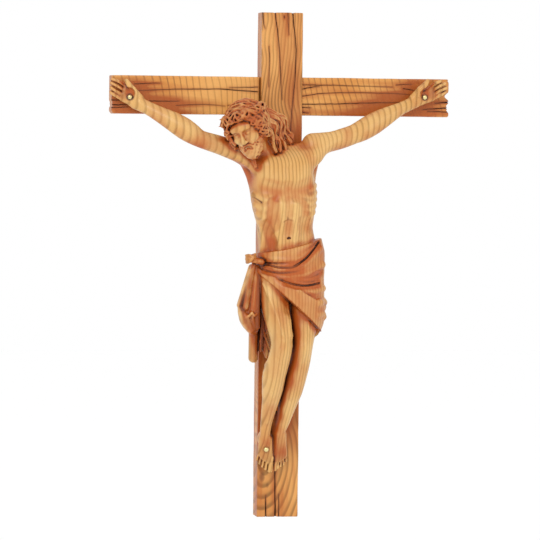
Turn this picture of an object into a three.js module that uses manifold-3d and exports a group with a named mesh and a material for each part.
// A wall crucifix, about 400 mm tall: two rough planks halved into each other, a carved figure with a
// loincloth and a crown of thorns, and three round-headed nails.
//
// Millimetres, +Z up, +X to the viewer's right. The wall is the plane y = 0 and the front faces -Y.
// The origin is on the back face, at the middle of the crossing. "Right" and "left" are the figure's own,
// so its right hand is at -X.
import * as THREE from 'three';
import { ConvexGeometry } from 'three/addons/geometries/ConvexGeometry.js';
import { mergeVertices } from 'three/addons/utils/BufferGeometryUtils.js';
import Module from 'manifold-3d';

const wasm = await Module();
wasm.setup();

// Driving dimensions
const CROSS_HEIGHT = 400;
const UPRIGHT = { width: 32, thickness: 18, top: 66.7, topLeft: -14.6 };
const BEAM = { left: -133.2, right: 137.6, low: -13.8, high: 15.2, skew: 0.0045, thickness: 15 };
const LAP_DEPTH = 7.5;
const GAP = 0.3;
const PLANK_BEVEL = 0.8;
const NAIL = { headRadius: 1.9, domeHeight: 1.3, shankRadius: 0.9, intoBoard: 7, pointLength: 2.5 };
const HANGER = { z: 48, headRadius: 4.25, slotHalfWidth: 2.25, slotRise: 9, depth: 7 };
const GRID = 1.4;
const FIGURE_TRIANGLES = 7700;
// where the figure's back is cut off: nearer the middle than this it lies on the upright, else on the beam
const OVER_UPRIGHT = 40;

const uprightFront = -UPRIGHT.thickness;
const beamFront = -BEAM.thickness;
const uprightBottom = UPRIGHT.top - CROSS_HEIGHT;

// Solids and cuts

function solidOf(geometry) {
  const bare = geometry.index ? geometry.toNonIndexed() : geometry.clone();
  const merged = mergeVertices(
    new THREE.BufferGeometry().setAttribute('position', bare.getAttribute('position')), 1e-3);
  return new wasm.Manifold(new wasm.Mesh({
    numProp: 3,
    vertProperties: merged.attributes.position.array,
    triVerts: new Uint32Array(merged.index.array),
  }));
}

function geometryOf(solid) {
  const { numVert, numProp, vertProperties, triVerts } = solid.getMesh();
  const positions = new Float32Array(numVert * 3);
  for (let i = 0; i < numVert; i++) {
    positions.set(vertProperties.subarray(i * numProp, i * numProp + 3), i * 3);
  }
  const geometry = new THREE.BufferGeometry();
  geometry.setAttribute('position', new THREE.BufferAttribute(positions, 3));
  geometry.setIndex(new THREE.BufferAttribute(triVerts, 1));
  return geometry;
}

function box(low, high) {
  const size = high.map((h, i) => h - low[i]);
  const middle = high.map((h, i) => (h + low[i]) / 2);
  return solidOf(new THREE.BoxGeometry(...size).translate(...middle));
}

// The planks: an outline seen from the front, given thickness, then cracked

// A board with its outline in the X-Z plane, its back at y = 0 and its front at y = -thickness.
function board(outline, thickness) {
  const shape = new THREE.Shape(outline.map(([x, z]) => new THREE.Vector2(x, z)));
  const body = new THREE.ExtrudeGeometry(shape, {
    depth: thickness - 2 * PLANK_BEVEL,
    bevelThickness: PLANK_BEVEL,
    bevelSize: PLANK_BEVEL,
    bevelOffset: -PLANK_BEVEL,
    bevelSegments: 1,
  });
  return solidOf(body.translate(0, 0, PLANK_BEVEL).rotateX(Math.PI / 2));
}

// A wedge-shaped crack in a front face from one point to another; it is widest at the share "widest".
function crack({ from, to, width, depth, widest = 0.5 }, front) {
  const along = [to[0] - from[0], to[1] - from[1]];
  const length = Math.hypot(...along);
  const across = [-along[1] / length, along[0] / length];
  const lift = 0.6;
  const at = (share, side, y) => new THREE.Vector3(
    from[0] + along[0] * share + across[0] * side,
    y,
    from[1] + along[1] * share + across[1] * side);
  return solidOf(new ConvexGeometry([
    at(0, 0, front - lift), at(1, 0, front - lift),
    at(widest, width / 2, front - lift), at(widest, -width / 2, front - lift),
    at(Math.max(0.02, widest - 0.3), 0, front + depth * 0.8),
    at(Math.min(0.98, widest + 0.3), 0, front + depth * 0.8),
    at(widest, 0, front + depth),
  ]));
}

function cracked(plank, cracks, front) {
  return cracks.reduce((solid, c) => solid.subtract(crack(c, front)), plank);
}

const UPRIGHT_CRACKS = [
  { from: [-4.2, 69], to: [-1, -2], width: 1.6, depth: 4, widest: 0.05 },
  { from: [10, 69], to: [12.6, -34], width: 2.0, depth: 5, widest: 0.06 },
  { from: [-14.6, 68], to: [-12.5, 50], width: 1.6, depth: 3, widest: 0.1 },
  { from: [5.2, 68], to: [6.5, 34], width: 1.0, depth: 2.5, widest: 0.1 },
  { from: [7.5, 40], to: [5.5, -30], width: 1.2, depth: 3.5 },
  { from: [-9, 38], to: [-8, 12], width: 0.9, depth: 2 },
  { from: [-10.8, -190], to: [-12.6, -335], width: 1.4, depth: 3.5, widest: 0.5 },
  { from: [-6.2, -311], to: [-6.6, -336], width: 2.4, depth: 9, widest: 0.95 },
  { from: [1.1, -298], to: [0.8, -336], width: 2.4, depth: 10, widest: 0.95 },
  { from: [4.6, -312], to: [5, -336], width: 2.4, depth: 9, widest: 0.95 },
];

const BEAM_CRACKS = [
  { from: [-17, 7.6], to: [-40, 6.8], width: 1.4, depth: 3, widest: 0.15 },
  { from: [-17, 4], to: [-62, 5.6], width: 1.6, depth: 3.5, widest: 0.15 },
  { from: [-64, 4.6], to: [-114, 3.6], width: 1.3, depth: 3, widest: 0.6 },
  { from: [-17, -6.5], to: [-70, -6.2], width: 1.0, depth: 2.2, widest: 0.3 },
  { from: [-84, 9.2], to: [-118, 8.6], width: 1.0, depth: 2.2 },
  { from: [-62, -7.5], to: [-98, -6.6], width: 1.2, depth: 2.6, widest: 0.8 },
  { from: [-138, -4.6], to: [-122, -4.8], width: 1.6, depth: 5, widest: 0.1 },
  { from: [-138, -8.2], to: [-122, -8.4], width: 1.8, depth: 6, widest: 0.1 },
  { from: [-138, -10.4], to: [-124, -9.8], width: 1.2, depth: 4, widest: 0.1 },
  { from: [17, 9.8], to: [58, 9.2], width: 1.3, depth: 3, widest: 0.12 },
  { from: [17, 7.2], to: [32, 8.4], width: 1.6, depth: 3, widest: 0.15 },
  { from: [17, 1.4], to: [70, 3.4], width: 1.2, depth: 2.6, widest: 0.2 },
  { from: [62, 2.8], to: [104, 0.6], width: 1.5, depth: 3.2, widest: 0.6 },
  { from: [17, -6.6], to: [92, -5.6], width: 1.5, depth: 3.2, widest: 0.25 },
  { from: [17, -9.4], to: [40, -8.6], width: 1.3, depth: 2.6, widest: 0.15 },
  { from: [80, 8.2], to: [106, 7.4], width: 1.0, depth: 2.2 },
  { from: [138.5, -3.4], to: [122, -3.8], width: 1.8, depth: 5, widest: 0.1 },
  { from: [138.5, -7.4], to: [112, -8.4], width: 2.0, depth: 6, widest: 0.1 },
  { from: [138.5, -11], to: [120, -10.4], width: 1.4, depth: 4, widest: 0.1 },
];

function uprightSolid() {
  const half = UPRIGHT.width / 2;
  const { top, topLeft } = UPRIGHT;
  const bottom = uprightBottom;
  const bottomLeft = -half - 0.9;
  const outline = [
    [bottomLeft, bottom + 2], [bottomLeft + 2.2, bottom + 0.8],
    [-9, bottom], [-7, bottom + 2.2], [-5.4, bottom], [-0.8, bottom], [0.8, bottom + 2.6],
    [2, bottom + 0.4], [3.6, bottom + 0.8], [5, bottom + 3], [6.8, bottom], [half + 0.4, bottom],
    [half + 0.3, -250], [half - 0.2, -150], [half, -20], [half - 0.1, top - 0.8],
    [11.4, top - 0.6], [10, top - 2.6], [8.6, top], [-2.6, top + 0.1], [-4.2, top - 1.8], [-5.6, top],
    [topLeft + 1.6, top], [topLeft, top - 2.4], [topLeft - 0.6, -60], [bottomLeft, -240],
  ];
  const { z, headRadius, slotHalfWidth, slotRise, depth } = HANGER;
  const slot = box([-slotHalfWidth, -depth, z], [slotHalfWidth, 1, z + slotRise]);
  const entry = solidOf(new THREE.CylinderGeometry(headRadius, headRadius, depth + 1, 12)
    .translate(0, (1 - depth) / 2, z));
  const under = beamEdge(0, 'low') - BEAM.skew * half - GAP;
  const over = beamEdge(0, 'high') + BEAM.skew * half + GAP;
  return cracked(board(outline, UPRIGHT.thickness), UPRIGHT_CRACKS, uprightFront)
    .subtract(box([-half - 3, -LAP_DEPTH - GAP / 2, under], [half + 3, 2, over]))
    .subtract(entry)
    .subtract(slot);
}

// The beam hangs a little out of level, its right end the higher.
function beamEdge(x, edge) {
  return (edge === 'low' ? BEAM.low : BEAM.high) + BEAM.skew * x;
}

function beamSolid() {
  const { left, right } = BEAM;
  const low = (x, inset = 0) => [x, beamEdge(x, 'low') + inset];
  const high = (x, inset = 0) => [x, beamEdge(x, 'high') - inset];
  const outline = [
    low(left + 2), low(left + 1, 1.2), [left + 0.6, -10.6], [left + 2.2, -9.4],
    [left + 0.4, -8.4], [left, -7.2], [left + 2, -5.6], [left + 0.4, -4.6], [left + 0.2, -3.4],
    [left + 1, -1.4], [left, 4], high(left - 0.4, 1), high(left + 0.8),
    high(0, 0.3), high(right - 0.6), high(right, 1.2),
    [right + 0.9, 8.2], [right + 0.7, 6], [right - 1.9, 4.3], [right - 2.6, 0.4],
    [right, -3], [right - 2.2, -5.7], [right - 0.9, -7.4],
    [right - 1.9, -8.7], [right - 0.7, -10.8], low(right - 0.9), low(60, -0.2), low(-40),
  ];
  const reach = UPRIGHT.width / 2 + GAP + 0.6;
  const left0 = -reach - 0.2;
  return cracked(board(outline, BEAM.thickness), BEAM_CRACKS, beamFront)
    .subtract(box([left0, beamFront - 2, -40], [reach, -LAP_DEPTH + GAP / 2, 40]));
}

// The figure: lumps of clay, each a distance to its own surface, pressed together with soft joints

const mix = (a, b, t) => a + (b - a) * t;
const clamp01 = (t) => Math.min(1, Math.max(0, t));

// The softened minimum of two distances; soft is the width of the joint in millimetres.
function join(a, b, soft) {
  const h = Math.max(soft - Math.abs(a - b), 0) / soft;
  return Math.min(a, b) - h * h * soft / 4;
}

// An ellipsoid.
function egg(centre, radii, soft = 3) {
  const [cx, cy, cz] = centre;
  const [rx, ry, rz] = radii;
  return {
    centre, soft, reach: Math.max(...radii),
    distance(x, y, z) {
      const ax = (x - cx) / rx;
      const ay = (y - cy) / ry;
      const az = (z - cz) / rz;
      const k = Math.hypot(ax, ay, az);
      const slope = Math.hypot(ax / rx, ay / ry, az / rz);
      return slope < 1e-9 ? -Math.min(rx, ry, rz) : k * (k - 1) / slope;
    },
  };
}

// A limb from a to b with an oval section, given at each end as [half width, half depth]; a single number
// is a round section. Width lies across the limb in the X-Z plane and depth towards the viewer.
function limb(a, b, sizeA, sizeB, soft = 3) {
  const [wa, da] = Array.isArray(sizeA) ? sizeA : [sizeA, sizeA];
  const [wb, db] = Array.isArray(sizeB) ? sizeB : [sizeB, sizeB];
  const along = new THREE.Vector3(b[0] - a[0], b[1] - a[1], b[2] - a[2]);
  const length = along.length();
  along.divideScalar(length);
  const side = new THREE.Vector3(along.z, 0, -along.x);
  if (side.lengthSq() < 1e-6) side.set(1, 0, 0);
  side.normalize();
  const depthward = new THREE.Vector3().crossVectors(along, side);
  const { x: nx, y: ny, z: nz } = along;
  const { x: sx, y: sy, z: sz } = side;
  const { x: fx, y: fy, z: fz } = depthward;
  return {
    soft,
    centre: a.map((v, i) => (v + b[i]) / 2),
    reach: length / 2 + Math.max(wa, da, wb, db),
    distance(x, y, z) {
      const qx = x - a[0];
      const qy = y - a[1];
      const qz = z - a[2];
      const run = qx * nx + qy * ny + qz * nz;
      const t = clamp01(run / length);
      const past = run - t * length;
      const w = mix(wa, wb, t);
      const d = mix(da, db, t);
      const small = Math.min(w, d);
      const u = (qx * sx + qy * sy + qz * sz) / w;
      const v = (qx * fx + qy * fy + qz * fz) / d;
      return (Math.hypot(u, v, past / small) - 1) * small;
    },
  };
}

// Rows of numbers drawn out into a smooth run, each gap between two rows in "parts" steps.
function smoothed(rows, parts) {
  const bend = (a, b, c, d, t) =>
    b + 0.5 * t * (c - a + t * (2 * a - 5 * b + 4 * c - d + t * (3 * (b - c) + d - a)));
  const rowAt = (i) => rows[Math.min(rows.length - 1, Math.max(0, i))];
  const run = rows.slice(0, -1).flatMap((row, i) => Array.from({ length: parts }, (_, k) =>
    row.map((_, n) => bend(rowAt(i - 1)[n], row[n], rowAt(i + 1)[n], rowAt(i + 2)[n], k / parts))));
  return [...run, rows[rows.length - 1]];
}

// One lump through a row of stations [x, y, z, half width, half depth].
function chain(stations, soft = 3, parts = 2) {
  const rows = smoothed(stations, parts);
  const pieces = rows.slice(1).map((to, i) =>
    limb(rows[i].slice(0, 3), to.slice(0, 3), rows[i].slice(3), to.slice(3)));
  const low = [0, 1, 2].map((i) => Math.min(...rows.map((row) => row[i])));
  const high = [0, 1, 2].map((i) => Math.max(...rows.map((row) => row[i])));
  const centre = low.map((v, i) => (v + high[i]) / 2);
  const away = (piece) => Math.hypot(...piece.centre.map((v, i) => v - centre[i])) + piece.reach;
  return {
    soft, centre,
    reach: Math.max(...pieces.map(away)),
    distance(x, y, z) {
      let d = 1e3;
      for (const piece of pieces) {
        const [cx, cy, cz] = piece.centre;
        if (Math.hypot(x - cx, y - cy, z - cz) - piece.reach < d) d = Math.min(d, piece.distance(x, y, z));
      }
      return d;
    },
  };
}

// A round rope through points, its radius running from one end's to the other's.
function rope(points, radiusA, radiusB = radiusA, soft = 1, parts = 2) {
  const radiusAt = (i) => mix(radiusA, radiusB, i / (points.length - 1));
  return chain(points.map((point, i) => [...point, radiusAt(i), radiusAt(i)]), soft, parts);
}

// Joins lumps, leaving out those too far off to matter; start is the distance so far.
function joined(lumps, x, y, z, start = 1e3) {
  let d = start;
  for (const lump of lumps) {
    const [cx, cy, cz] = lump.centre;
    const least = Math.hypot(x - cx, y - cy, z - cz) - lump.reach;
    if (least < d + lump.soft) d = join(d, lump.distance(x, y, z), lump.soft);
  }
  return d;
}

// Carves lumps out of what is there.
function carved(lumps, x, y, z, start) {
  let d = start;
  for (const lump of lumps) {
    const [cx, cy, cz] = lump.centre;
    const least = Math.hypot(x - cx, y - cy, z - cz) - lump.reach;
    if (-least > d - lump.soft) d = -join(-d, lump.distance(x, y, z), lump.soft);
  }
  return d;
}

// Trunk: stations of the chest, waist and hips, from the neck down
const TRUNK = [
  [-4, -38, -50, 20, 12],
  [-2.5, -38.5, -60, 24.5, 18],
  [-1, -39, -72, 25.8, 20],
  [0, -39.5, -84, 25, 19.5],
  [0.6, -39.5, -94, 22.6, 17],
  [1.4, -40, -106, 22, 15.5],
  [3.4, -40.5, -120, 23, 16],
  [5, -41, -136, 24.5, 17],
];

// A point on the front of a body given as stations, at x and z; lift is how far it stands out.
function onFront(stations, x, z, lift) {
  const below = stations.findIndex(([, , sz]) => sz <= z);
  const above = Math.max(0, (below < 0 ? stations.length - 1 : below) - 1);
  const [ax, ay, az, aw, ad] = stations[above];
  const [bx, by, bz, bw, bd] = stations[above + 1];
  const t = clamp01((z - az) / (bz - az));
  const across = (x - mix(ax, bx, t)) / mix(aw, bw, t);
  const round = Math.sqrt(Math.max(0, 1 - across * across));
  return [x, mix(ay, by, t) - mix(ad, bd, t) * round - lift, z];
}

// Lumps that follow paths of x and z over such a front.
const relief = (stations, marks, soft) => marks.map(({ path, radius, lift }) =>
  rope(path.map(([x, z]) => onFront(stations, x, z, lift)), radius, radius, soft));

// What stands out of the chest and belly, and what is sunk into them
const CHEST = [
  { path: [[-19, -61], [-8, -66]], radius: 8.5, lift: -6 },
  { path: [[5, -64.5], [17, -58.5]], radius: 8.5, lift: -6 },
  { path: [[-24, -78], [-17, -80], [-11, -77]], radius: 2.4, lift: -1.4 },
  { path: [[-23, -84.5], [-17, -86], [-12, -83]], radius: 2.2, lift: -1.4 },
  { path: [[-21.6, -91], [-16, -92], [-12, -89]], radius: 2.2, lift: -1.4 },
  { path: [[22.2, -75], [18, -78], [12, -75]], radius: 2.2, lift: -1.4 },
  { path: [[21.2, -82], [18, -84.4], [12.4, -81]], radius: 2, lift: -1.4 },
  { path: [[20.2, -88.6], [17, -90.6], [13, -87.6]], radius: 2, lift: -1.4 },
  { path: [[-5, -84], [-4.6, -102]], radius: 5.4, lift: -4.2 },
  { path: [[6, -83], [7, -102]], radius: 5.4, lift: -4.2 },
  { path: [[-4, -112], [9, -112]], radius: 7, lift: -5.6 },
  { path: [[-7.4, -108], [-6.6, -120]], radius: 2.4, lift: -1.4 },
];
const CHEST_HOLLOWS = [
  { path: [[-22, -68], [-13, -73.4], [-3, -73], [8, -72], [20, -66]], radius: 1.8, lift: 1 },
  { path: [[-1.4, -58], [-0.6, -72]], radius: 1.6, lift: 2.2 },
  { path: [[-12.6, -89], [-8.6, -80], [-1, -76.6], [6.4, -79], [11.4, -88]], radius: 1.6, lift: 0.9 },
  { path: [[0.6, -80], [1.2, -106]], radius: 1.2, lift: 1.2 },
  { path: [[0.2, -109.8], [2, -109.8]], radius: 1.1, lift: 1.4 },
  { path: [[-25, -79.4], [-20.4, -82.6]], radius: 0.9, lift: 0.4 },
  { path: [[-13.4, -104], [-12.6, -119]], radius: 3.6, lift: 2 },
];

// Arms from the shoulder to the heel of the hand
const ARM = {
  right: [
    [-30, -39, -45.5, 8.4, 8.4],
    [-40.2, -38, -42.2, 7.6, 7.6],
    [-49.8, -38, -38.6, 7.4, 7.4],
    [-57.8, -38, -36.2, 7.1, 7],
    [-66.8, -37.5, -33.4, 6.8, 6.4],
    [-72.4, -36.8, -30, 7.8, 6.6],
    [-79, -35.6, -25.6, 8.5, 6.8],
    [-87.4, -33.6, -20.3, 7.8, 6.4],
    [-98, -31, -14.6, 6.1, 5.2],
    [-107.4, -27.6, -9.4, 5.2, 4.4],
    [-115.4, -22.6, -5.6, 5.4, 4],
  ],
  left: [
    [23, -39, -37, 9, 8.6],
    [38, -37.6, -34.6, 7.8, 7.8],
    [47.4, -37, -31.9, 7.8, 7.2],
    [56, -36.4, -28.8, 7.6, 6.8],
    [63.6, -35.4, -25.4, 8.4, 6.8],
    [73.2, -33.4, -20, 8.6, 6.6],
    [84.9, -31, -13.6, 7, 5.6],
    [96.9, -27.8, -7.6, 4.9, 4.4],
    [109, -22.8, -2.4, 5, 4],
  ],
};

// Legs from the hip to the ankle; the right one lies in front
const LEG = {
  right: [
    [-7, -43, -138, 13, 15],
    [-7.4, -46, -159, 11.4, 13],
    [-6.8, -50, -170.6, 10.2, 12],
    [-4.9, -54.5, -182.1, 9, 11],
    [-3.9, -58, -193.5, 8.5, 9.6],
    [-5.8, -56.5, -205.3, 8.6, 8.8],
    [-8.5, -52, -217.5, 9.1, 9],
    [-8.7, -47.6, -227.2, 8.4, 8.8],
    [-9.2, -42.6, -237.8, 6.8, 7.6],
    [-10.4, -38.6, -247.8, 5.5, 6.6],
    [-11.4, -35, -258.2, 4.4, 5.4],
    [-11.8, -33, -268, 4, 5],
  ],
  left: [
    [18, -42, -138, 14, 15],
    [17.4, -44.5, -158, 13, 13.6],
    [15.8, -47, -171, 11.2, 12],
    [15, -49, -182.6, 9.8, 11],
    [14, -50.5, -194.2, 8.3, 9.8],
    [12.8, -48.5, -206.2, 8.1, 9],
    [10.4, -44.4, -218.3, 8.6, 9],
    [8.2, -40, -230.4, 8.4, 8.6],
    [5.4, -35.4, -242.6, 7.2, 7.4],
    [3.4, -31.4, -254.8, 5.4, 6],
    [0.4, -29.6, -264.5, 4.4, 5.2],
  ],
};

const NECK = { from: [-12, -41, -47], to: [-24, -50, -36], radius: 7.6 };

// Muscles and bones that show through: a path of points with the radius at each end
const MUSCLES = [
  { path: [[-30.2, -34, -48.4], [-19.8, -35, -72]], radii: [5.4, 4.4], soft: 4 },
  { path: [[24.5, -34, -43], [20.8, -35, -66]], radii: [6, 4.6], soft: 4 },
  { path: [[-38, -42, -44], [-30, -46, -51], [-17, -50, -64]], radii: [4.4, 6], soft: 5 },
  { path: [[34, -42, -37], [23, -47, -47], [10, -51, -62]], radii: [5, 6], soft: 5 },
  { path: [[-10, -40, -48], [-30, -38, -44]], radii: [6.5, 7], soft: 6 },
  { path: [[-9, -39, -47], [20, -38, -41.5]], radii: [6.5, 6.5], soft: 6 },
  { path: [[-13, -46.5, -53], [22, -47, -46]], radii: [5.5, 5], soft: 7 },
];

const arm = (side) => [chain(ARM[side], 3.5)];
const leg = (side) => {
  const [kx, ky, kz] = LEG[side][4];
  const [cx, cy, cz] = LEG[side][7];
  return [
    chain(LEG[side], 3.5),
    egg([kx - 0.4, ky - 4.6, kz - 3], [5, 5.2, 6.4], 3),
    limb([cx, cy + 4, cz + 16], [cx - 0.6, cy + 6, cz - 4], 6, 5, 4),
  ];
};

// Fingers and toes: where each starts, bends and ends. Heights are z, and y grows towards the wall.
const FINGERS = {
  right: [
    [[-123.4, -21.5, 7.2], [-129.4, -23.2, 10.4], [-134.2, -22.6, 12.2]],
    [[-124.6, -21.5, 3.9], [-130.6, -24, 7], [-135, -23, 9.4]],
    [[-125.6, -21.5, 0.4], [-131.8, -24, 3.3], [-135.2, -23, 6]],
    [[-126, -21, -2.8], [-132, -23, 0], [-135.4, -22.6, 2.3]],
  ],
  left: [
    [[121.4, -21.5, 8.6], [124.8, -27, 12.4], [128.4, -27.4, 13.9]],
    [[123.2, -21.5, 6.6], [127.6, -27.6, 10.2], [131.8, -27.4, 12]],
    [[124.2, -21.5, 3.4], [129, -27.2, 7], [133.2, -27, 9]],
    [[123.6, -21, 0.2], [129, -25.8, 3.4], [132.6, -25.6, 5.6]],
  ],
};
const THUMB = {
  right: [[-113.4, -24, -2.6], [-118.6, -26, 4], [-121.9, -26.8, 8.6], [-123.7, -26.6, 11.2]],
  left: [[108, -24, 0.2], [112.6, -26.6, 7.4], [116.2, -27.6, 11.6], [118.1, -27.4, 14.2]],
};
const FINGER_RADIUS = 1.75;

function hand(side) {
  const heel = ARM[side][ARM[side].length - 1];
  const palm = FINGERS[side].map(([base], i) =>
    limb([mix(heel[0], base[0], 0.3), -21.5, mix(heel[2], base[2], 0.3 + 0.05 * (1 - i))], base,
      [3.2, 3.6], [2.1, 2.8], 2.2));
  const fingers = FINGERS[side].map((points) => rope(points, FINGER_RADIUS, FINGER_RADIUS * 0.85, 0.6));
  const thumb = [
    limb(THUMB[side][0], THUMB[side][1], [4, 3.4], [2.9, 2.8], 2),
    rope(THUMB[side].slice(1), 2.6, 1.7, 1),
  ];
  return [...palm, ...fingers, ...thumb];
}

// Each toe's root, tip and radius, from the big toe outwards
const TOES = {
  right: [
    [[-6.2, -31, -285.7], [-6.4, -26, -294.6], 2.3],
    [[-8.8, -31, -286], [-10, -26, -293.8], 1.6],
    [[-10.7, -30.5, -284.8], [-12.3, -25.5, -291.8], 1.5],
    [[-12.3, -30, -283.6], [-14.2, -25, -289.8], 1.4],
    [[-13.6, -29, -281.2], [-15.4, -24.5, -286], 1.5],
  ],
  left: [
    [[-1.8, -27, -286.6], [-1, -23, -294.4], 2],
    [[0, -27, -286.2], [0.7, -23, -293.4], 1.5],
    [[1.8, -27, -285.6], [2.4, -23, -291.4], 1.5],
    [[3.6, -26.5, -284.6], [4.6, -22.5, -291.4], 1.5],
    [[5.2, -26, -282.6], [6.6, -22.5, -288.4], 1.5],
  ],
};

function foot(side) {
  const [ax, ay, az] = LEG[side][LEG[side].length - 1];
  return [
    egg([ax + 0.6, ay + 8, az - 2], [5, 6.5, 7], 3),
    ...TOES[side].map(([base], i) =>
      limb([mix(ax, base[0], 0.45), ay + 1, az - 2], base, [3.4, 4.4], [2.2, 2.6], i ? 1.6 : 2)),
    ...TOES[side].map(([base, tip, radius]) => limb(base, tip, radius * 1.05, radius * 0.95, 0.6)),
  ];
}

// The head, in its own frame: a to the figure's left, f the way it looks, u up to the crown.
// It has sunk on the right shoulder, and the face is turned down and away.
const HEAD = { centre: [-32, -55, -25.4], up: [-0.6, -0.06, 0.79], look: [-0.42, -0.86, -0.3] };

const headUp = new THREE.Vector3(...HEAD.up).normalize();
const headLook = new THREE.Vector3(...HEAD.look).projectOnPlane(headUp).normalize();
const headSide = new THREE.Vector3().crossVectors(headUp, headLook);

const FACE = [
  egg([0, -1.5, 4.5], [12.6, 15.5, 14.5], 3),           // skull
  egg([0, 4, -6], [9.6, 10.4, 11.5], 4),                // jaw and cheeks
  egg([0, 11.6, 6.2], [8.8, 3, 3], 3),                  // brow
  egg([6.4, 9, -3.2], [4, 3.4, 3.2], 3),                // left cheekbone
  egg([-6.4, 9, -3.2], [4, 3.4, 3.2], 3),               // right cheekbone
  limb([0, 13, 3], [0, 16.6, -4.8], 1.5, 2, 1.5),       // nose
  egg([0, 12.4, -10], [4, 2.4, 2], 1.6),                // mouth
  egg([0, 11, -15.5], [4.8, 4.2, 4.4], 2.5),            // chin and its beard
  egg([0, 7.6, -13], [8, 6.4, 6], 3),                   // beard along the jaw
  limb([-0.6, 10, -17], [-1, 9.6, -21], 3, 1.6, 2),     // one point of the beard
  limb([1.2, 9.6, -17], [2, 9, -20.6], 3, 1.5, 2),      // the other
];
const EYE_HOLLOWS = [
  egg([4.4, 14.2, 1.4], [3.1, 2.4, 2], 1.5),
  egg([-4.4, 14.2, 1.4], [3.1, 2.4, 2], 1.5),
];
const EYELIDS = [egg([4.4, 11.4, 1], [2.4, 1.9, 1.6], 0.6), egg([-4.4, 11.4, 1], [2.4, 1.9, 1.6], 0.6)];

// The hair: a cap parted in the middle, the locks beside the face in the head's own frame, and the long
// ones that fall to the shoulders, in the figure's
const HAIR_CAP = [
  egg([0.8, -3.5, 6.8], [14.6, 15.8, 13.8], 2),
  egg([2, -9, -3], [13, 9, 13], 3),
];
const SIDE_LOCKS = [
  [[4, 11, 14], [10.5, 7, 8], [13, 4, 0], [12.4, 3.5, -8]],
  [[-4, 11, 14], [-10.5, 8, 8], [-13, 5, 1], [-12, 6, -7], [-10.5, 7, -14]],
  [[-6, 4, 18], [-14.5, 3, 9], [-15.5, 0, 0], [-13, 0, -10], [-11, 2, -17]],
];
const LONG_LOCKS = [
  [[-20, -38, -10], [-10.6, -38, -14.4], [-4.4, -38.4, -19.4],
    [-0.4, -38.6, -26.6], [2.6, -39, -34], [7.6, -40, -40.6]],
  [[-23, -45, -13], [-14.4, -45, -18.4], [-8, -45, -23.6],
    [-4.6, -45.4, -31.6], [-1.6, -46, -37.6], [0.6, -47, -43]],
  [[-25, -52, -15], [-17.6, -52, -20], [-11.6, -52, -25],
    [-10.6, -52, -33.6], [-7.6, -52, -39.6], [-6.8, -52.6, -44.6]],
  [[-25.6, -56.4, -16], [-21, -57, -22.4], [-18, -56, -30.4], [-15, -55.6, -37.6], [-11.4, -55, -43.6]],
  [[-33, -52, -37], [-30, -54, -42], [-28, -56, -48.6], [-25.8, -56, -55]],
];

// The crown of thorns: strands wound round one another along a ring that sits on the brow
const CROWN = {
  across: 14.6, deep: 16, height: 12.5, tilt: 0.11, strand: 1.35, strands: 4, twist: 5, swing: 2.9,
};
const STEPS_ROUND = 30;

function crownPoint(turn, strand, steps = STEPS_ROUND) {
  const angle = turn * 2 * Math.PI / steps;
  const wind = CROWN.twist * angle + strand * 2 * Math.PI / CROWN.strands;
  const out = 1 + Math.cos(wind) * CROWN.swing / CROWN.deep;
  const f = Math.cos(angle) * CROWN.deep * out - 2;
  return [
    Math.sin(angle) * CROWN.across * out,
    f,
    CROWN.height - f * CROWN.tilt + Math.sin(wind) * CROWN.swing,
  ];
}

function crownOfThorns() {
  return Array.from({ length: CROWN.strands }, (_, s) => {
    const ring = Array.from({ length: STEPS_ROUND + 1 }, (_, i) => crownPoint(i, s));
    return rope(ring, CROWN.strand, CROWN.strand, 0.5, 1);
  });
}

const hairLumps = [...HAIR_CAP, ...SIDE_LOCKS.map((points) => rope(points, 3, 1.9, 1.2))];
const longLockLumps = LONG_LOCKS.map((points) => rope(points, 4, 1.7, 0.9));
const crownLumps = crownOfThorns();

const head = {
  centre: HEAD.centre, reach: 40, soft: 3,
  distance(x, y, z) {
    const p = new THREE.Vector3(x - HEAD.centre[0], y - HEAD.centre[1], z - HEAD.centre[2]);
    const a = p.dot(headSide);
    const f = p.dot(headLook);
    const u = p.dot(headUp);
    let d = joined(FACE, a, f, u);
    d = carved(EYE_HOLLOWS, a, f, u, d);
    d = joined(EYELIDS, a, f, u, d);
    d = joined(hairLumps, a, f, u, d);
    return joined(crownLumps, a, f, u, d);
  },
};

// The loincloth: a wrap round the hips between two slanting hems, pulled into a knot on the right hip
const WRAP = [
  [3, -41, -108, 25, 17],
  [5.6, -41.5, -124, 27.2, 19],
  [6, -42.5, -142, 26, 20.4],
  [6.8, -44, -160, 25.4, 21],
  [9.4, -44, -184, 18.6, 19],
];
const upperHem = (x) => -118.6 + 0.21 * x + 0.0022 * x * x;
const lowerHem = (x, y) => -137.6 - 0.9 * (x + 22) - 1.1 * Math.max(0, y + 42);
const bandEdge = (x) => -131.6 - 0.56 * (x + 25);

const wrapLumps = [chain(WRAP, 6)];

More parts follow.
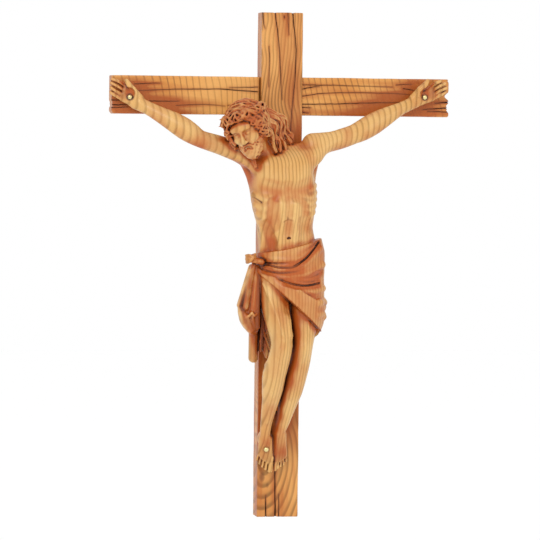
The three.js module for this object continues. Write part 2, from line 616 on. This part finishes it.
// Folds that stand out and creases that sink in, as paths over the front: x and z along each
const FOLDS = [
  { path: [[-22, -124], [-8, -123.2], [10, -119.4], [28, -113]], radius: 1.3, lift: -0.5 },
  { path: [[-20, -133], [-6, -137], [8, -135], [20, -124.6], [30, -116.6]], radius: 2, lift: -0.6 },
  { path: [[-14, -137.4], [0, -140.6], [16, -137.6], [30, -131]], radius: 2.4, lift: -1 },
  { path: [[0, -149], [14, -151.4], [28, -149.6], [32, -147]], radius: 2.2, lift: -1 },
  { path: [[-22, -133.6], [-8, -144], [6, -153], [24, -163]], radius: 1.6, lift: 0.6 },
  { path: [[24, -160.6], [30, -160], [33, -163]], radius: 3, lift: -1 },
  { path: [[24, -170], [29, -169.4], [31, -172]], radius: 2.4, lift: -1 },
];
const CREASES = [
  {
    path: [[-24.3, -129.2], [-15.8, -130.5], [-8, -132.5], [1.4, -132.9],
      [8.4, -129.5], [14.1, -126.3], [22, -119], [29, -115.4]],
    radius: 1.2,
    lift: 0.7,
  },
  { path: [[-22, -130], [-12, -134.6], [-3.8, -136.6], [6.5, -135.7], [18.7, -133]], radius: 1, lift: 0.6 },
  { path: [[-22, -128.2], [-13.5, -129.2], [-3.7, -128.7], [2.2, -128.6]], radius: 0.8, lift: 0.4 },
  { path: [[-4, -143], [1.1, -144.4], [6.4, -146.2], [13.9, -147.2], [26, -145.9]], radius: 2, lift: 0.8 },
];

const foldLumps = relief(WRAP, FOLDS, 2);
const creaseLumps = relief(WRAP, CREASES, 0.8);

const KNOT_LUMPS = [
  egg([-29.6, -50, -126.6], [2.6, 4.4, 3.5], 0.6),
  egg([-25.8, -50.6, -125.4], [2.6, 4, 2.8], 0.6),
  limb([-19, -50, -129], [-28, -51, -127.4], 2.4, 2, 1),
  rope([[-30.4, -49, -129.4], [-29.4, -53.6, -128.4], [-26.4, -54.4, -125], [-24.8, -51, -123.4]], 1.6),
];

// The cloth's loose end, which falls from the knot in pleats and ends in a rounded tail
const DRAPE = [
  chain([[-24.6, -46, -130, 2, 3.4], [-27.8, -43, -150, 2.6, 5], [-32.6, -41, -165.6, 2.3, 5.6]], 1.4),
  chain([[-24.8, -49, -130, 2.2, 3], [-26.8, -48, -150, 3, 4], [-27.8, -47, -165, 3.2, 4]], 1.4),
  chain([[-22.4, -46, -130, 2.4, 3.4], [-21.4, -44, -152, 3, 5], [-20.4, -42, -182, 2.6, 5]], 1.4),
  chain([[-33, -41, -165.6, 2.2, 5.4], [-31.4, -40, -175, 2.4, 6], [-24, -39, -183, 3, 6]], 2),
  chain([[-27, -42, -162, 3.6, 5], [-26, -42, -172, 4.6, 5], [-23, -41, -181, 3, 5]], 1.6),
  rope([[-30, -47, -166.6], [-26, -49.4, -168.6], [-22.6, -48, -168], [-22.4, -46, -173]], 1.9, 1.9, 1),
  chain([[-22.6, -36, -178, 3.4, 6], [-21.6, -32, -194, 3.7, 5.6], [-21.4, -31, -205.6, 3.8, 5]], 1.4),
  chain([[-16.6, -38, -164, 2.4, 5], [-16.2, -35, -184, 1.8, 4.6], [-16.4, -34, -199, 1.4, 4]], 1.4),
  chain([[-11, -34, -176, 4, 2.8], [-12, -32, -192, 4, 2.4], [-10.4, -31, -204.4, 1.8, 2]], 2),
];

const looseClothLumps = [...KNOT_LUMPS, ...DRAPE];

function cloth(x, y, z) {
  const wrap = joined(wrapLumps, x, y, z);
  const low = (lowerHem(x, y) - z) * 0.7;
  let d = Math.max(wrap, (z - upperHem(x)) * 0.95, low);
  // the lower band lies over the rest, so it stands out below its own upper edge
  d = join(d, Math.max(wrap - 1.6, (z - bandEdge(x)) * 0.85, low), 0.7);
  const folds = joined(foldLumps, x, y, z);
  d = join(d, Math.max(folds, low), 1.8);
  d = carved(creaseLumps, x, y, z, d);
  return joined(looseClothLumps, x, y, z, d);
}

const bodyLumps = [
  chain(TRUNK, 4),
  ...relief(TRUNK, CHEST, 3),
  ...MUSCLES.map(({ path, radii, soft }) => rope(path, radii[0], radii[1], soft)),
  limb(NECK.from, NECK.to, NECK.radius, NECK.radius, 5),
  ...['right', 'left'].flatMap((side) => [...arm(side), ...leg(side)]),
];
const bodyHollows = relief(TRUNK, CHEST_HOLLOWS, 2);
const extremityLumps = ['right', 'left'].flatMap((side) => [...hand(side), ...foot(side)]);

const clothBox = new THREE.Box3(new THREE.Vector3(-46, -75, -220), new THREE.Vector3(44, -10, -100));
const point = new THREE.Vector3();

function figureDistance(x, y, z) {
  let d = joined(bodyLumps, x, y, z);
  d = carved(bodyHollows, x, y, z, d);
  d = joined(extremityLumps, x, y, z, d);
  d = joined([head], x, y, z, d);
  d = joined(longLockLumps, x, y, z, d);
  if (clothBox.containsPoint(point.set(x, y, z))) d = join(d, cloth(x, y, z), 1);
  const back = (Math.abs(x) < OVER_UPRIGHT ? uprightFront : beamFront) - GAP;
  return Math.max(d, y - back);
}

// Turns the distance into a closed mesh: a grid of cubes, each cut into six tetrahedra along its diagonal

const FIGURE_BOX = { low: [-142, -84, -302], high: [138, -12, 20] };
const BLOCK = 6;
// a block is worked through only if the surface may be within this many half blocks of its middle
const BLOCK_REACH = 2.6;

const PAIRS = [[0, 1], [0, 2], [0, 3], [1, 2], [1, 3], [2, 3]];

// The low corners of the blocks of a grid of the given size.
function blocksOf([nx, ny, nz]) {
  const steps = (n) => Array.from({ length: Math.ceil(n / BLOCK) }, (_, i) => i * BLOCK);
  return steps(nz).flatMap((k) => steps(ny).flatMap((j) => steps(nx).map((i) => [i, j, k])));
}

function meshOf(distance, { low, high }, step) {
  const size = low.map((v, i) => Math.ceil((high[i] - v) / step) + 1);
  const [nx, ny, nz] = size;
  const values = new Float32Array(nx * ny * nz);
  const stride = [1, nx, nx * ny];
  const idAt = (i, j, k) => i + j * stride[1] + k * stride[2];
  const near = [];
  const half = BLOCK * step / 2;
  for (const [i, j, k] of blocksOf(size)) {
    const middle = distance(low[0] + i * step + half, low[1] + j * step + half, low[2] + k * step + half);
    const close = Math.abs(middle) < half * BLOCK_REACH;
    if (close) near.push([i, j, k]);
    for (let c = k; c < Math.min(k + BLOCK, nz); c++) {
      for (let b = j; b < Math.min(j + BLOCK, ny); b++) {
        for (let a = i; a < Math.min(i + BLOCK, nx); a++) {
          values[idAt(a, b, c)] = close
            ? distance(low[0] + a * step, low[1] + b * step, low[2] + c * step)
            : middle;
        }
      }
    }
  }
  const orders = [[0, 1, 2], [0, 2, 1], [1, 0, 2], [1, 2, 0], [2, 0, 1], [2, 1, 0]];
  const turns = orders.map((o) => ((o[1] - o[0] + 3) % 3 === 1 ? 1 : -1));
  const found = new Map();
  const points = [];
  const faces = [];
  const placeOf = (id) => [id % nx, Math.floor(id / nx) % ny, Math.floor(id / (nx * ny))];
  const vertexOn = (p, q) => {
    const key = Math.min(p, q) * values.length + Math.max(p, q);
    if (found.has(key)) return found.get(key);
    const t = Math.min(0.98, Math.max(0.02, values[p] / (values[p] - values[q])));
    const a = placeOf(p);
    const b = placeOf(q);
    const index = points.length / 3;
    a.forEach((v, i) => points.push(low[i] + mix(v, b[i], t) * step));
    found.set(key, index);
    return index;
  };
  for (const [i0, j0, k0] of near) {
    for (let k = k0; k < Math.min(k0 + BLOCK, nz - 1); k++) {
      for (let j = j0; j < Math.min(j0 + BLOCK, ny - 1); j++) {
        for (let i = i0; i < Math.min(i0 + BLOCK, nx - 1); i++) {
          const corner = idAt(i, j, k);
          orders.forEach((order, n) => {
            const ids = [corner];
            for (const axis of order) ids.push(ids[ids.length - 1] + stride[axis]);
            const inside = ids.filter((id) => values[id] < 0);
            if (inside.length === 0 || inside.length === 4) return;
            const outside = ids.filter((id) => values[id] >= 0);
            // an odd arrangement of corners turns the face round
            const places = [...inside, ...outside].map((id) => ids.indexOf(id));
            let odd = turns[n];
            for (const [a, b] of PAIRS) if (places[a] > places[b]) odd = -odd;
            let ring;
            if (inside.length === 1) ring = outside.map((q) => vertexOn(inside[0], q));
            else if (inside.length === 3) ring = inside.map((p) => vertexOn(p, outside[0])).reverse();
            else {
              const [p, q] = inside;
              const [r, s] = outside;
              ring = [vertexOn(p, r), vertexOn(p, s), vertexOn(q, s), vertexOn(q, r)];
            }
            if (inside.length === 3) odd = -odd;
            if (odd < 0) ring.reverse();
            for (let v = 1; v + 1 < ring.length; v++) faces.push([ring[0], ring[v], ring[v + 1]]);
          });
        }
      }
    }
  }
  return { points, faces };
}

// Thins a closed mesh to a number of triangles by closing up the edges that change its shape least

// an edge is kept if closing it would turn a face further than this
const LEAST_TURN_COSINE = 0.2;

class Heap {
  constructor() { this.items = []; }
  push(item) {
    const { items } = this;
    items.push(item);
    let i = items.length - 1;
    while (i > 0) {
      const up = (i - 1) >> 1;
      if (items[up].cost <= items[i].cost) break;
      [items[up], items[i]] = [items[i], items[up]];
      i = up;
    }
  }
  pop() {
    const { items } = this;
    const top = items[0];
    const last = items.pop();
    if (items.length) {
      items[0] = last;
      let i = 0;
      for (;;) {
        let least = i;
        for (const child of [2 * i + 1, 2 * i + 2]) {
          if (child < items.length && items[child].cost < items[least].cost) least = child;
        }
        if (least === i) break;
        [items[least], items[i]] = [items[i], items[least]];
        i = least;
      }
    }
    return top;
  }
}

function thinned({ points, faces }, wanted) {
  const count = points.length / 3;
  const at = (v) => [points[3 * v], points[3 * v + 1], points[3 * v + 2]];
  const around = Array.from({ length: count }, () => new Set());
  faces.forEach((face, f) => face.forEach((v) => around[v].add(f)));
  // how far a point is from the planes of the faces it stands for, as the ten sums of a quadric
  const quadrics = Array.from({ length: count }, () => new Float64Array(10));
  const normalOf = (a, b, c) => {
    const ux = b[0] - a[0];
    const uy = b[1] - a[1];
    const uz = b[2] - a[2];
    const vx = c[0] - a[0];
    const vy = c[1] - a[1];
    const vz = c[2] - a[2];
    return [uy * vz - uz * vy, uz * vx - ux * vz, ux * vy - uy * vx];
  };
  for (const face of faces) {
    const [a, b, c] = face.map(at);
    const n = normalOf(a, b, c);
    const area = Math.hypot(...n) || 1e-12;
    const [x, y, z] = n.map((v) => v / area);
    const w = -(x * a[0] + y * a[1] + z * a[2]);
    const sums = [x * x, x * y, x * z, x * w, y * y, y * z, y * w, z * z, z * w, w * w];
    for (const v of face) sums.forEach((s, i) => { quadrics[v][i] += s * area; });
  }
  const errorAt = (q, [x, y, z]) =>
    q[0] * x * x + 2 * q[1] * x * y + 2 * q[2] * x * z + 2 * q[3] * x + q[4] * y * y
    + 2 * q[5] * y * z + 2 * q[6] * y + q[7] * z * z + 2 * q[8] * z + q[9];
  const stamp = new Uint32Array(count);
  const heap = new Heap();
  const consider = (a, b) => {
    const q = quadrics[a].map((v, i) => v + quadrics[b][i]);
    const pa = at(a);
    const pb = at(b);
    const middle = pa.map((v, i) => (v + pb[i]) / 2);
    const spots = [middle, pa, pb];
    const m = new THREE.Matrix3().set(q[0], q[1], q[2], q[1], q[4], q[5], q[2], q[5], q[7]);
    if (Math.abs(m.determinant()) > 1e-6) {
      const best = new THREE.Vector3(-q[3], -q[6], -q[8]).applyMatrix3(m.invert()).toArray();
      const off = Math.hypot(...best.map((v, i) => v - middle[i]));
      if (off < 2 * Math.hypot(...pa.map((v, i) => v - pb[i]))) spots.push(best);
    }
    const costs = spots.map((p) => errorAt(q, p));
    const cost = Math.min(...costs);
    heap.push({ cost, a, b, spot: spots[costs.indexOf(cost)], mark: stamp[a] + stamp[b] });
  };
  const neighbours = (v) => {
    const set = new Set([...around[v]].flatMap((f) => faces[f]));
    set.delete(v);
    return set;
  };
  const flips = (v, other, spot) => {
    for (const f of around[v]) {
      if (faces[f].includes(other)) continue;
      const now = faces[f].map(at);
      const then = faces[f].map((w) => (w === v ? spot : at(w)));
      const m = normalOf(...now);
      const n = normalOf(...then);
      const dot = m[0] * n[0] + m[1] * n[1] + m[2] * n[2];
      if (dot < LEAST_TURN_COSINE * Math.hypot(...m) * Math.hypot(...n)) return true;
    }
    return false;
  };
  for (let v = 0; v < count; v++) {
    for (const w of neighbours(v)) if (v < w) consider(v, w);
  }
  let left = faces.length;
  const gone = new Uint8Array(count);
  while (left > wanted && heap.items.length) {
    const { a, b, spot, mark } = heap.pop();
    if (gone[a] || gone[b] || stamp[a] + stamp[b] !== mark) continue;
    const nearA = neighbours(a);
    if (!nearA.has(b)) continue;
    const shared = [...neighbours(b)].filter((v) => nearA.has(v));
    if (shared.length !== 2 || flips(a, b, spot) || flips(b, a, spot)) continue;
    spot.forEach((v, i) => { points[3 * a + i] = v; });
    quadrics[a].forEach((v, i) => { quadrics[a][i] = v + quadrics[b][i]; });
    for (const f of around[b]) {
      if (faces[f].includes(a)) {
        for (const v of faces[f]) if (v !== b) around[v].delete(f);
        left -= 1;
      } else {
        faces[f] = faces[f].map((v) => (v === b ? a : v));
        around[a].add(f);
      }
    }
    around[b] = new Set();
    gone[b] = 1;
    stamp[a] += count;
    for (const v of neighbours(a)) consider(a, v);
  }
  const alive = new Set();
  around.forEach((set) => set.forEach((f) => alive.add(f)));
  return { points, faces: [...alive].map((f) => faces[f]) };
}

// Keeps the largest connected piece and drops stray specks.
function largestPiece({ points, faces }) {
  const parent = Array.from({ length: points.length / 3 }, (_, i) => i);
  const rootOf = (v) => {
    let root = v;
    while (parent[root] !== root) root = parent[root];
    while (parent[v] !== root) [parent[v], v] = [root, parent[v]];
    return root;
  };
  for (const [a, b, c] of faces) {
    parent[rootOf(a)] = rootOf(b);
    parent[rootOf(b)] = rootOf(c);
  }
  const counts = new Map();
  for (const [a] of faces) counts.set(rootOf(a), (counts.get(rootOf(a)) ?? 0) + 1);
  const [largest] = [...counts.entries()].sort((p, q) => q[1] - p[1])[0];
  return { points, faces: faces.filter(([a]) => rootOf(a) === largest) };
}

function figureGeometry() {
  const whole = largestPiece(meshOf(figureDistance, FIGURE_BOX, GRID));
  const { points, faces } = thinned(whole, FIGURE_TRIANGLES);
  const geometry = new THREE.BufferGeometry();
  geometry.setAttribute('position', new THREE.Float32BufferAttribute(points, 3));
  geometry.setIndex(faces.flat());
  return geometry;
}

// The nails: where each goes in, and the figure's surface there

const NAIL_SPOTS = {
  nail_right_hand: { x: -120.6, z: -1.3, face: beamFront },
  nail_left_hand: { x: 116.2, z: 1.2, face: beamFront },
  nail_feet: { x: -10.9, z: -277.7, face: uprightFront },
};

const SEAT_CLEARANCE = 6;
const FEELER_STEP = 0.1;

function surfaceAt(x, z) {
  let y = FIGURE_BOX.low[1];
  while (figureDistance(x, y, z) > 0 && y < 0) y += FEELER_STEP;
  return y;
}

function nailGeometry(length) {
  const { headRadius, domeHeight, shankRadius, pointLength } = NAIL;
  const dome = Array.from({ length: 5 }, (_, i) => {
    const turn = (i / 4) * Math.PI / 2;
    return new THREE.Vector2(headRadius * Math.cos(turn), domeHeight * Math.sin(turn));
  });
  dome[4].x = 0;
  const profile = [
    new THREE.Vector2(0, -length),
    new THREE.Vector2(shankRadius, -length + pointLength),
    new THREE.Vector2(shankRadius, 0),
    ...dome,
  ];
  // the lathe's axis is y, and its head already points up it, so half a turn faces the head to the front
  return new THREE.LatheGeometry(profile, 12).rotateX(Math.PI);
}

function nailHole(x, z, from, to, radius) {
  const rod = new THREE.CylinderGeometry(radius, radius, to - from, 12);
  return solidOf(rod.translate(x, (from + to) / 2, z));
}

// Assembly

const FINISHES = {
  cross: { color: '#c98d55', roughness: 0.45, metalness: 0 },
  figure: { color: '#dba468', roughness: 0.42, metalness: 0 },
  nail: { color: '#cdbf8f', roughness: 0.3, metalness: 1 },
};

function named(name, geometry, finish) {
  const mesh = new THREE.Mesh(geometry, new THREE.MeshStandardMaterial(FINISHES[finish]));
  mesh.name = name;
  return mesh;
}

let upright = uprightSolid();
let beam = beamSolid();
let figure = solidOf(figureGeometry());
const group = new THREE.Group();

for (const [name, { x, z, face }] of Object.entries(NAIL_SPOTS)) {
  const seat = surfaceAt(x, z);
  const end = face + NAIL.intoBoard;
  const nail = named(name, nailGeometry(end - seat), 'nail');
  nail.position.set(x, seat, z);
  group.add(nail);
  const front = seat - SEAT_CLEARANCE;
  const hole = nailHole(x, z, front, end + GAP, NAIL.shankRadius + GAP);
  const seatCut = nailHole(x, z, front, seat + GAP, NAIL.headRadius + GAP);
  figure = figure.subtract(hole).subtract(seatCut);
  if (face === beamFront) beam = beam.subtract(hole);
  else upright = upright.subtract(hole);
}

group.add(
  named('upright', geometryOf(upright), 'cross'),
  named('crossbeam', geometryOf(beam), 'cross'),
  named('corpus', geometryOf(figure), 'figure'),
);

export default group;
